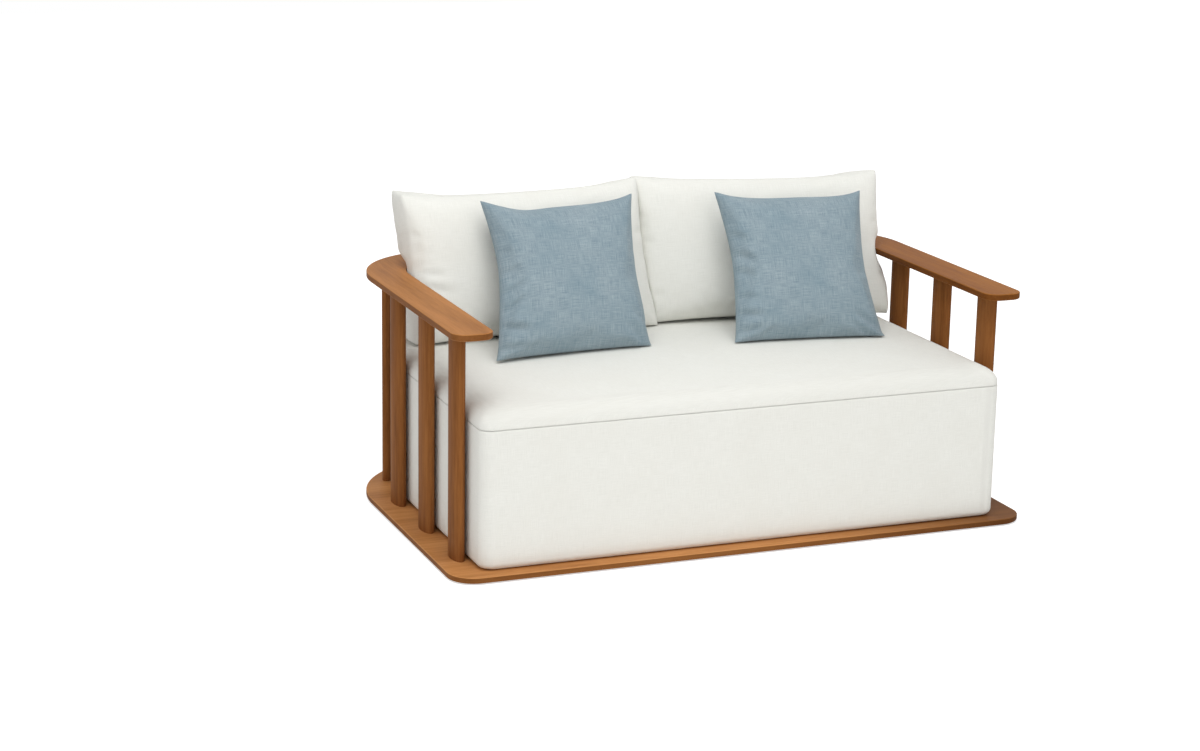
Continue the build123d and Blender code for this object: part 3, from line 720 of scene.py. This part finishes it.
cushion_folds = {
    "left": [
        ((-0.99, -0.02), (-0.72, -0.10), 0.005, 0.010), ((-0.99, -0.20), (-0.66, -0.34), 0.006, 0.012),
        ((-0.99, 0.22), (-0.80, 0.20), 0.003, 0.009), ((0.99, -0.80), (0.86, -0.62), 0.004, 0.009),
        ((0.99, 0.30), (0.86, 0.26), 0.003, 0.010), ((-0.40, 0.98), (-0.36, 0.74), 0.002, 0.014),
        ((-0.99, 0.06), (-0.82, 0.08), 0.004, 0.009), ((-0.99, -0.36), (-0.78, -0.52), 0.005, 0.010),
    ],
    "right": [
        ((-0.99, 0.15), (-0.84, 0.10), 0.003, 0.010), ((-0.40, -0.99), (-0.52, -0.60), 0.005, 0.012),
        ((-0.52, -0.99), (-0.60, -0.74), 0.004, 0.010), ((-0.99, -0.55), (-0.78, -0.62), 0.004, 0.011),
        ((0.99, 0.10), (0.84, 0.02), 0.003, 0.010), ((0.99, -0.42), (0.86, -0.50), 0.003, 0.010),
    ],
}
cushion_cases = {}
for side, matrix in cushion_places.items():
    case, units = sewn_case(
        f"{side}_back_cushion", cushion_size, cushion_edge, cushion_thickness,
        cushion_draw_in, cushion_bulge, cushion_fullness, cushion_step,
    )
    spots = stand(stuff(case), units, matrix, cushion_pulls[side])
    spots = pinch(spots, units, cushion_pinches[side])
    spots = crease(spots, units, matrix, cushion_size, cushion_folds[side])
    spots = press(spots, spill_under_rail[side])
    if side == "right":
        spots = make_way(spots, [cushion_cases["left"]], (1, 0, 0))
    settle(case, spots, seat_cloth)
    cushion_cases[side] = case
    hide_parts(f"{side}_cushion_cover", f"{side}_cushion_fill")
    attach(case, f"{side}_cushion")

# Throw pillows: blue melange cloth, two square panels sewn edge to edge and stuffed,
# with pointed corners and a plain seam all round. They lean loose on the back cushions.
pillow_size = (0.445, 0.445)
pillow_edge, pillow_thickness, pillow_bulge = 0.0, 0.132, 0.0
pillow_draw_in = (0.014, 0.020, -0.002)
pillow_fullness = (2.4, 0.54)
pillow_step = 0.009
pillow_spill = 0.02
pillow_tones = opaque(170, 184, 190), opaque(103, 125, 137), opaque(98, 128, 142)
denim, denim_colour, denim_normal = outdoor_cloth("pillow_cloth", pillow_tones)
pillow_cloth = denim.surface(
    Base_Color=denim_colour, Roughness=0.9, Normal=denim_normal,
    Specular_IOR_Level=0.2, Sheen_Weight=0.10, Sheen_Roughness=0.6,
)
pillow_places = {
    "left": leaning((-0.2905, 0.105, 0.638), 26.5, 2.0, 1.8),
    "right": leaning((0.3875, 0.055, 0.632), 26.5, -6.5, 1.3),
}
pillow_pulls = {
    "left": {
        (-1, 1, 0): (-0.015, 0.0, 0.001), (1, 1, 0): (0.013, 0.0, 0.009),
        (-1, -1, 0): (-0.045, -0.062, -0.004), (1, -1, 0): (0.000, -0.019, -0.004),
    },
    "right": {
        (-1, 1, 0): (-0.016, 0.0, 0.001), (1, 1, 0): (-0.003, 0.0, 0.001),
        (-1, -1, 0): (-0.009, -0.038, -0.003), (1, -1, 0): (0.010, -0.035, -0.002),
    },
}
pillow_pinches = {
    "left": [
        (-0.45, 1.0, 0.28, (0.0, 0.0, -0.009)), (-1.0, 0.15, 0.50, (0.010, 0.0, 0.0)),
        (0.96, -0.45, 0.30, (0.006, 0.0, 0.0)),
    ],
    "right": [
        (0.1, 1.0, 0.50, (0.0, 0.0, 0.007)), (-1.0, 0.1, 0.50, (0.008, 0.0, 0.0)),
        (1.0, 0.0, 0.45, (-0.006, 0.0, 0.0)),
    ],
}
pillow_folds = {
    "left": [
        ((-0.97, 0.04), (-0.72, 0.10), 0.008, 0.007), ((-0.97, -0.20), (-0.66, -0.10), 0.010, 0.007),
        ((-0.97, -0.42), (-0.62, -0.26), 0.011, 0.008), ((-0.99, -0.60), (-0.60, -0.66), 0.015, 0.008),
        ((-0.99, -0.86), (-0.62, -0.84), 0.010, 0.007), ((-0.95, 0.30), (-0.78, 0.30), 0.005, 0.008),
        ((0.97, -0.70), (0.70, -0.48), 0.012, 0.008), ((0.90, -0.97), (0.62, -0.66), 0.010, 0.008),
        ((0.97, 0.25), (0.82, 0.20), 0.005, 0.008),
    ],
    "right": [
        ((-0.97, 0.40), (-0.74, 0.30), 0.009, 0.008), ((-0.97, 0.14), (-0.68, 0.02), 0.013, 0.009),
        ((-0.97, -0.08), (-0.70, -0.18), 0.012, 0.008), ((-0.97, -0.40), (-0.66, -0.46), 0.009, 0.008),
        ((-0.99, -0.62), (-0.60, -0.66), 0.014, 0.008), ((-0.95, -0.84), (-0.60, -0.80), 0.010, 0.008),
        ((0.97, -0.88), (0.58, -0.64), 0.015, 0.009), ((0.80, -0.97), (0.52, -0.76), 0.011, 0.008),
        ((0.97, -0.10), (0.78, -0.18), 0.007, 0.008),
    ],
}
for side, matrix in pillow_places.items():
    case, units = sewn_case(
        f"{side}_throw_pillow", pillow_size, pillow_edge, pillow_thickness,
        pillow_draw_in, pillow_bulge, pillow_fullness, pillow_step,
    )
    spots = stand(stuff(case), units, matrix, pillow_pulls[side])
    spots = pinch(spots, units, pillow_pinches[side])
    spots = crease(spots, units, matrix, pillow_size, pillow_folds[side])
    spots = press(spots, pillow_spill)
    spots = make_way(spots, cushion_cases.values(), matrix.to_3x3().col[2])
    settle(case, spots, pillow_cloth)
    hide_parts(f"{side}_pillow_cover", f"{side}_pillow_fill")
    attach(case, f"{side}_pillow")
